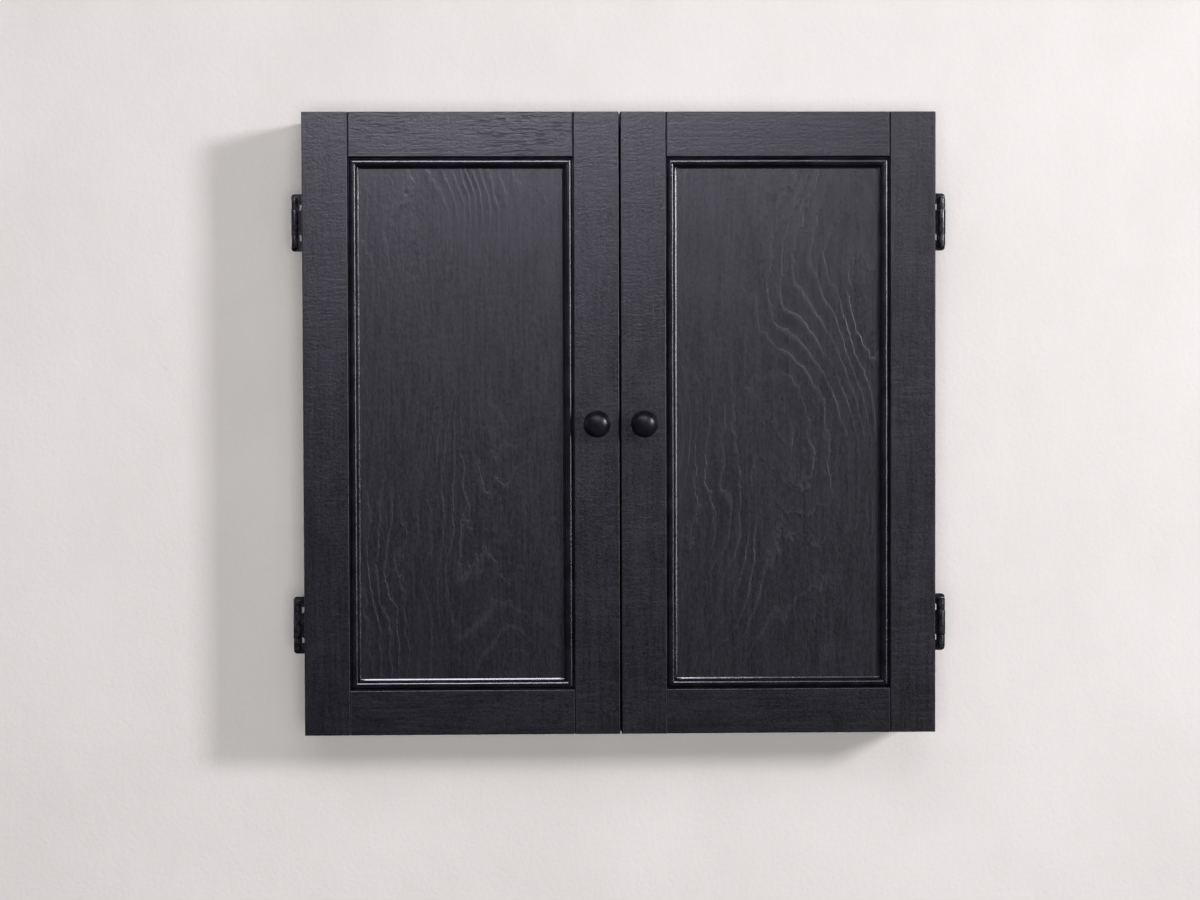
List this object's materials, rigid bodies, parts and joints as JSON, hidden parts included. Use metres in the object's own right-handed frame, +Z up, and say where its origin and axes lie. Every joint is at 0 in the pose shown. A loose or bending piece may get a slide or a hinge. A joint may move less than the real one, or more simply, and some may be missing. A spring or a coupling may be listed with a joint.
{
  "type": "dart board cabinet",
  "caption": "Shallow wall-hung wooden cabinet with framed, panelled double doors on side hinges and small knobs where they meet, made to house a dart board.",
  "frame": {"origin": "middle of the cabinet's back, on the plane of the wall it hangs on", "axes": "+X to the right seen from the front, +Y into the wall, +Z up; the doors face -Y"},
  "size_m": [0.6576, 0.1193, 0.622],
  "materials": {
    "lacquered_frame": "satin black lacquer over close-grained hardwood",
    "beading": "satin black lacquer over half-round beading",
    "veneered_panel": "satin black lacquer over rotary-cut veneer whose grain shows through",
    "lacquered_box": "satin black lacquer over veneered board",
    "back_plywood": "thin plywood stained black",
    "pine_rail": "bare sawn pine",
    "hinge_steel": "black enamelled pressed steel",
    "bracket_steel": "black powder-coated steel",
    "knob_metal": "satin black turned metal",
    "zinc_steel": "bright zinc plate",
    "rubber": "matt black rubber",
    "scoreboard": "matt chalkboard paint on hardboard",
    "dart_rack": "satin black lacquer over solid wood"
  },
  "bodies": {
    "cabinet": {"back_panel": "back_plywood", "board_bracket": "bracket_steel", "board_spacer_1": "rubber", "board_spacer_2": "rubber", "board_spacer_3": "rubber", "bottom_board": "lacquered_box", "centre_batten": "pine_rail", "hanging_rail": "pine_rail", "left_bottom_frame_wing": "hinge_steel", "left_bottom_hinge_pin": "hinge_steel", "left_bracket_screw": "zinc_steel", "left_keyhole_plate": "zinc_steel", "left_side": "lacquered_box", "left_top_frame_wing": "hinge_steel", "left_top_hinge_pin": "hinge_steel", "lower_rail": "pine_rail", "right_bottom_frame_wing": "hinge_steel", "right_bottom_hinge_pin": "hinge_steel", "right_bracket_screw": "zinc_steel", "right_keyhole_plate": "zinc_steel", "right_side": "lacquered_box", "right_top_frame_wing": "hinge_steel", "right_top_hinge_pin": "hinge_steel", "top_board": "lacquered_box"},
    "left_door": {"left_bottom_bead": "beading", "left_bottom_bumper": "rubber", "left_bottom_door_wing": "hinge_steel", "left_bottom_rail": "lacquered_frame", "left_dart_rack": "dart_rack", "left_hinge_bead": "beading", "left_hinge_stile": "lacquered_frame", "left_knob": "knob_metal", "left_knob_screw": "zinc_steel", "left_meeting_bead": "beading", "left_meeting_stile": "lacquered_frame", "left_panel": "veneered_panel", "left_scoreboard": "scoreboard", "left_top_bead": "beading", "left_top_bumper": "rubber", "left_top_door_wing": "hinge_steel", "left_top_rail": "lacquered_frame"},
    "right_door": {"right_bottom_bead": "beading", "right_bottom_bumper": "rubber", "right_bottom_door_wing": "hinge_steel", "right_bottom_rail": "lacquered_frame", "right_dart_rack": "dart_rack", "right_hinge_bead": "beading", "right_hinge_stile": "lacquered_frame", "right_knob": "knob_metal", "right_knob_screw": "zinc_steel", "right_meeting_bead": "beading", "right_meeting_stile": "lacquered_frame", "right_panel": "veneered_panel", "right_scoreboard": "scoreboard", "right_top_bead": "beading", "right_top_bumper": "rubber", "right_top_door_wing": "hinge_steel", "right_top_rail": "lacquered_frame"}
  },
  "joints": [
    {"name": "left_door_hinge", "type": "hinge", "parent": "cabinet", "child": "left_door", "pos_m": [-0.325, -0.07795, 0], "axis": [0, 0, -1], "range_deg": [0, 180]},
    {"name": "right_door_hinge", "type": "hinge", "parent": "cabinet", "child": "right_door", "pos_m": [0.325, -0.07795, 0], "axis": [0, 0, 1], "range_deg": [0, 180]}
  ]
}
